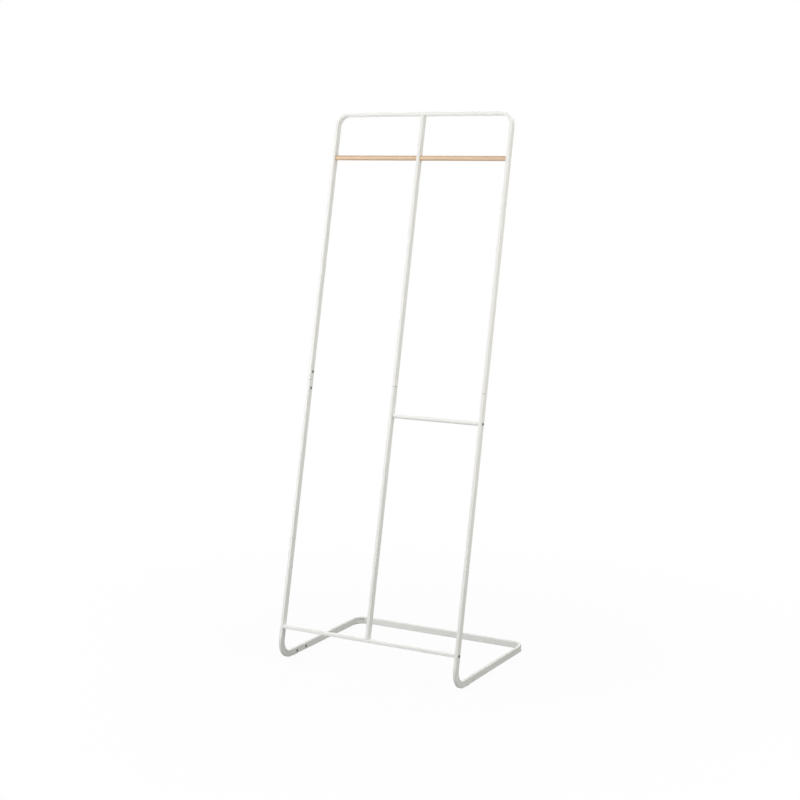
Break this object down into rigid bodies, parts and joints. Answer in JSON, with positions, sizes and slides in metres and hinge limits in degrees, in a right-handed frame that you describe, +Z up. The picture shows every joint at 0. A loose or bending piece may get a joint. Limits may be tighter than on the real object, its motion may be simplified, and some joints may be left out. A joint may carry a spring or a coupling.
{
  "type": "coat rack",
  "caption": "Free-standing coat rack: leaning frame of flat steel tube with a centre post, wooden hanging rod, short side rail and U-shaped floor base.",
  "frame": {"origin": "on the floor, below the middle of the rack's width and depth", "axes": "+X to the right seen from the front, +Y to the back, +Z up"},
  "size_m": [0.6052, 0.47, 1.64],
  "materials": {
    "powder_coat": "satin powder coat",
    "rod_wood": "clear matt lacquer",
    "dark_steel": "dark zinc",
    "bare_steel": "plain",
    "pad_rubber": "matt"
  },
  "bodies": {
    "root": {"upper_frame": "powder_coat", "upper_centre_post": "powder_coat", "lower_centre_post": "powder_coat", "front_lower_rail": "powder_coat", "short_side_rail": "powder_coat", "base_loop": "powder_coat", "left_leg": "powder_coat", "right_leg": "powder_coat", "hanging_rod": "rod_wood", "rod_lock_screw": "dark_steel", "centre_post_top_screw": "dark_steel", "centre_post_foot_screw": "dark_steel", "post_joint_bolts": "dark_steel", "base_joint_bolts": "dark_steel", "lower_rail_bolts": "dark_steel", "side_rail_bolts": "dark_steel", "centre_post_insert": "bare_steel", "left_post_insert": "bare_steel", "right_post_insert": "bare_steel", "left_base_insert": "bare_steel", "right_base_insert": "bare_steel", "centre_post_top_plug": "bare_steel", "centre_post_foot_plug": "bare_steel", "lower_rail_plugs": "bare_steel", "side_rail_plugs": "bare_steel", "front_left_foot_pad": "pad_rubber", "front_right_foot_pad": "pad_rubber", "rear_left_foot_pad": "pad_rubber", "rear_right_foot_pad": "pad_rubber"}
  },
  "joints": []
}
